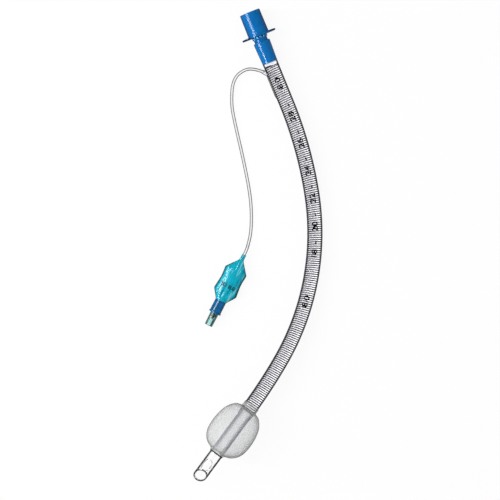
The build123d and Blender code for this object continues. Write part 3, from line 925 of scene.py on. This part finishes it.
class TUBE_OT_cuff(Operator):
    """Inflated cuff of thin clear film with a collar at each end"""

    bl_idname = "tube.cuff"
    bl_label = "Cuff"

    def execute(self, context):
        settings = context.scene.tube_object.cuff
        bulge = smooth_through(
            [(5.95, 280.2), (6.1, 281.2), (9.6, 282.6), (12.2, 285.2), (14.3, 288.6), (15.8, 293.3), (16.5, 298.6),
             (16.6, 303.0), (16.2, 307.6), (15.0, 311.6), (12.9, 314.8), (9.8, 317.4), (6.2, 318.9), (5.4, 319.9)],
            90,
        )
        outer = np.vstack([[(5.62, 277.4), (5.9, 277.5)], bulge, [(5.3, 320.8), (5.02, 320.9)]])
        film = 0.12
        slope = np.gradient(outer, axis=0)
        inner = outer - film * unit(np.stack([slope[:, 1], -slope[:, 0]], axis=1))
        profile = np.vstack([outer[1:-1], inner[1:-1][::-1]])

        def gathers(profile, angle):
            """Faint pleats near both collars: a cosine round the film that fades towards the barrel."""
            station = profile[:, 1:2]
            near = sum(np.exp(-((station - end) / reach) ** 2) for end, reach in ((283.2, 3.0), (317.2, 2.6)))
            return near * (0.14 * np.cos(11 * angle) + 0.1 * np.cos(17 * angle + 1.0))

        piece = turned("cuff_film", profile, on_tube, 144, wing=gathers)
        finish = Finish("cuff_clear_film")
        veil = settings.veil
        facing = finish.facing()
        share = (finish.ramp(facing, 0.2, 0.95) * 0.8 + finish.ramp(facing, 0.85, 1.0) * 0.2) * (0.75 - veil) + veil
        station = finish.kept("station")
        # Painted shadow: a dark ring on the film at the end of the far collar
        painted_collar_shadow = finish.ramp(station, 319.9, 320.3)
        share = share.most(painted_collar_shadow * 0.9)
        tone = finish.blend(finish.ramp(facing, 0.4, 1.0), (0.7, 0.71, 0.69), settings.film)
        tone = finish.blend(painted_collar_shadow, tone, (0.02, 0.02, 0.025))
        soft = finish.bump(finish.noise(12.0, 1.0), 0.06, 0.6)
        film_shader = finish.plain(Base_Color=tone, Roughness=0.4, Normal=soft, Specular_IOR_Level=0.05)
        body = finish.mix(share, finish.clear((0.985, 0.985, 0.99)), film_shader)
        material = glazed(finish, body, 0.35, index=1.35, share=0.03, Normal=soft)
        dress(piece, "tube", material, "cuff_film", "cuff")
        return {"FINISHED"}


class TUBE_OT_balloon(Operator):
    """Teal pilot balloon: a film bag with a neck for the line and gathers at its shoulders"""

    bl_idname = "tube.balloon"
    bl_label = "Pilot balloon"

    def execute(self, context):
        settings = context.scene.tube_object.balloon
        rows, around = 110, 120
        outline = softened(
            [(0.0, 1.55, 1.55), (4.4, 1.55, 1.55), (13.2, 8.5, 3.3), (20.5, 7.75, 4.3), (30.4, 8.9, 3.6),
             (36.9, 4.25, 4.25), (38.0, 4.2, 4.2)],
            [0, 1.6, 0.8, 3.5, 1.0, 0.9, 0], steps=16,
        )
        station = np.linspace(0.0, 37.2, rows)
        wide = np.interp(station, outline[:, 0], outline[:, 1])
        thick = np.interp(station, outline[:, 0], outline[:, 2])
        angle = angles(around)
        s, a = np.meshgrid(station, angle, indexing="ij")
        flatness = np.clip((wide - 1.6) / 5.0, 0, 1) * step_up(station, 4.0, 9.0) * (1 - step_up(station, 32.0, 37.0))
        power = 1 + 0.35 * flatness[:, None]
        across = wide[:, None] * np.cos(a)
        up = thick[:, None] * np.sign(np.sin(a)) * np.abs(np.sin(a)) ** power
        gather = np.exp(-((s - 9.5) / 3.4) ** 2) + 0.8 * np.exp(-((s - 33.0) / 2.8) ** 2)
        pleat = gather * np.cos(across * 1.9 + 0.4) * 0.28 * np.abs(np.sin(a)) * flatness[:, None]
        up = up + np.sign(np.sin(a)) * pleat
        points = by_valve(s, across, up)
        # The neck's mouth and the end round the sleeve are turned in, so that the film has a closed edge
        film = 0.15
        thinner = 1 - film / np.hypot(across, up)
        inner = by_valve(s, across * thinner, up * thinner)
        both = np.concatenate([points, inner[::-1]])
        faces = grid_faces(2 * rows, around, wrap_rows=True)
        seam = np.abs(np.cos(a))
        keep = {key: np.concatenate([part, part[::-1]]) for key, part in
                {"station": s, "across": across, "seam": seam}.items()}
        bag = make_piece("balloon_bag", both, faces, keep)
        finish = Finish("balloon_teal_film")
        facing = finish.facing()
        rim = finish.ramp(facing, 0.4, 0.85)
        rim = rim.most(finish.ramp(finish.kept("seam"), 0.8, 0.93))
        # Creases that run along the bag: noise that is drawn out tenfold along the station. It bumps the film, and
        # its pale streaks are painted highlights and its dark streaks painted shade
        along = {0: finish.kept("across") * MM, 1: finish.kept("station") * (0.1 * MM)}
        crease = finish.noise(1.9, 1.5, where=finish.add("ShaderNodeCombineXYZ", inputs=along))
        tone = finish.blend(finish.ramp(crease, 0.56, 0.68) * 0.8, settings.film, (0.45, 1.0, 1.0))
        tone = finish.blend(finish.ramp(crease, 0.44, 0.33) * 0.7, tone, (0.0, 0.18, 0.25))
        tone = finish.blend(rim, tone, settings.edge)
        soft = finish.bump(crease, 0.4, 0.6)
        film_shader = finish.plain(Base_Color=tone, Roughness=0.25, Normal=soft, Specular_IOR_Level=0.08)
        body = finish.mix(rim * 0.35 + 0.55, finish.clear((0.1, 0.85, 0.93)), film_shader)
        material = glazed(finish, body, 0.15, index=1.5, share=0.12, Normal=soft)
        dress(bag, "tube", material, "balloon_teal", "pilot_balloon")

        def lay(x, y):
            """Places of the size number, which runs across the bag on its upper side."""
            where, side = 25.6 - y, -1.1 * x
            share = np.clip(np.abs(side) / np.interp(where, station, wide), 0, 0.99)
            top = np.interp(where, station, thick) * np.sqrt(1 - share**2) ** 1.2 + 0.15
            return by_valve(where, side, top)

        ink = Finish("ink_navy").grained(
            0.4, (0.0, 0.03, 0.05), (0.0, 0.06, 0.09), Roughness=0.5, Specular_IOR_Level=0.1
        )
        printed("balloon_size_mark", "ID 8.0", 3.9, lay, ink, "balloon_teal")
        return {"FINISHED"}


class TUBE_OT_valve(Operator):
    """Blue sleeve, clear green valve housing, plunger, seal and spring"""

    bl_idname = "tube.valve"
    bl_label = "Valve"

    def execute(self, context):
        settings = context.scene.tube_object.balloon

        def part(name, corners, cuts, around, closed=True):
            return turned(name, softened(corners, cuts, closed=closed), on_valve, around, closed=closed)

        sleeve = part(
            "valve_socket_sleeve",
            [(0.9, 34.6), (3.8, 34.6), (3.8, 37.2), (4.15, 37.2), (4.15, 45.6), (4.5, 45.8), (4.5, 47.0),
             (3.15, 47.0), (3.15, 38.6), (0.9, 38.6)],
            [0.1, 0.3, 0.1, 0.3, 0.1, 0.2, 0.3, 0.2, 0.1, 0.1], 64,
        )
        blue = moulded(
            "sleeve_blue_plastic", settings.sleeve, shade(settings.sleeve, 0.45), shine=0.3, grain_mm=1.5
        )
        dress(sleeve, "tube", blue, "sleeve_blue", "valve_sleeve")

        housing = part(
            "valve_housing",
            [(2.3, 38.6), (3.1, 38.6), (3.1, 47.4), (2.87, 56.9), (2.14, 56.9), (1.97, 51.3), (1.22, 51.3),
             (1.22, 49.9), (2.3, 49.9)],
            [0.1, 0.2, 0.4, 0.35, 0.25, 0.2, 0.1, 0.1, 0.2], 64,
        )
        green = see_through(
            "valve_green_plastic", (0.8, 0.96, 0.94), settings.valve, 0.05, 0.93, 0.05, 0.24, rough=0.25
        )
        dress(housing, "tube", green, "valve_green", "valve_body")

        plunger = part(
            "valve_plunger_turned",
            [(0.0, 44.1), (0.85, 44.1), (0.85, 48.1), (1.9, 48.1), (1.9, 49.1), (1.1, 49.1), (1.1, 51.3),
             (0.0, 51.3)],
            [0, 0.2, 0.1, 0.15, 0.15, 0.05, 0.2, 0], 40, closed=False,
        )
        amber = moulded("plunger_amber_plastic", settings.plunger, shade(settings.plunger, 0.6), rough=0.3)
        dress(plunger, "plunger", amber, "plunger_amber", "valve_plunger")

        seal = part(
            "valve_seal_ring", [(1.15, 49.12), (2.0, 49.12), (2.0, 49.88), (1.15, 49.88)], [0.15] * 4, 40
        )
        rubber = moulded("seal_black_rubber", (0.03, 0.03, 0.03), (0.05, 0.05, 0.05), rough=0.6, shine=0.05)
        dress(seal, "plunger", rubber, "seal_rubber", "valve_seal")

        seat_station, disc_station, coil_turns, end_gap = 38.6, 48.1, 7, 0.18
        turns = np.linspace(0, coil_turns, coil_turns * 20 + 1)
        station = seat_station + end_gap + (disc_station - seat_station - 2 * end_gap) * turns / coil_turns
        coil = coiled("valve_coil", on_valve, station, 2 * np.pi * turns, 1.35, 0.16, 8)
        steel = Finish("coil_steel").grained(
            0.8, (0.5, 0.5, 0.52), (0.35, 0.35, 0.37), Metallic=1.0, Roughness=0.3
        )
        dress(coil, "tube", steel, "spring_steel", "valve_spring")
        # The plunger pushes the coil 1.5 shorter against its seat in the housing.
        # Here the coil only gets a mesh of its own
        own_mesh(coil)
        return {"FINISHED"}


class TUBE_PT_panel(Panel):
    """Sidebar panel with the settings and one button for each piece"""

    bl_idname = "TUBE_PT_panel"
    bl_label = "Tracheal tube"
    bl_space_type = "VIEW_3D"
    bl_region_type = "UI"
    bl_category = "Tube"

    def draw(self, context):
        settings = context.scene.tube_object
        for group in (settings.tube, settings.connector, settings.cuff, settings.line, settings.balloon,
                      settings.stage):
            box = self.layout.box()
            for key in group.__annotations__:
                box.prop(group, key)
        for operator in PIECES:
            self.layout.operator(operator.bl_idname)


PIECES = (
    TUBE_OT_stage, TUBE_OT_connector, TUBE_OT_tube, TUBE_OT_wire, TUBE_OT_depth_print, TUBE_OT_cuff,
    TUBE_OT_balloon, TUBE_OT_valve, TUBE_OT_inflation_line,
)
SETTINGS = (
    TubeSettings, ConnectorSettings, CuffSettings, LineSettings, BalloonSettings, StageSettings, ObjectSettings,
)


def register():
    for item in (*SETTINGS, *PIECES, TUBE_PT_panel):
        bpy.utils.register_class(item)
    bpy.types.Scene.tube_object = PointerProperty(type=ObjectSettings)


def unregister():
    del bpy.types.Scene.tube_object
    for item in reversed((*SETTINGS, *PIECES, TUBE_PT_panel)):
        bpy.utils.unregister_class(item)


def main():
    register()
    bpy.ops.tube.stage()
    bpy.ops.tube.connector()
    bpy.ops.tube.tube()
    bpy.ops.tube.wire()
    bpy.ops.tube.depth_print()
    bpy.ops.tube.cuff()
    bpy.ops.tube.balloon()
    bpy.ops.tube.valve()
    bpy.ops.tube.inflation_line()


if __name__ == "__main__":
    main()
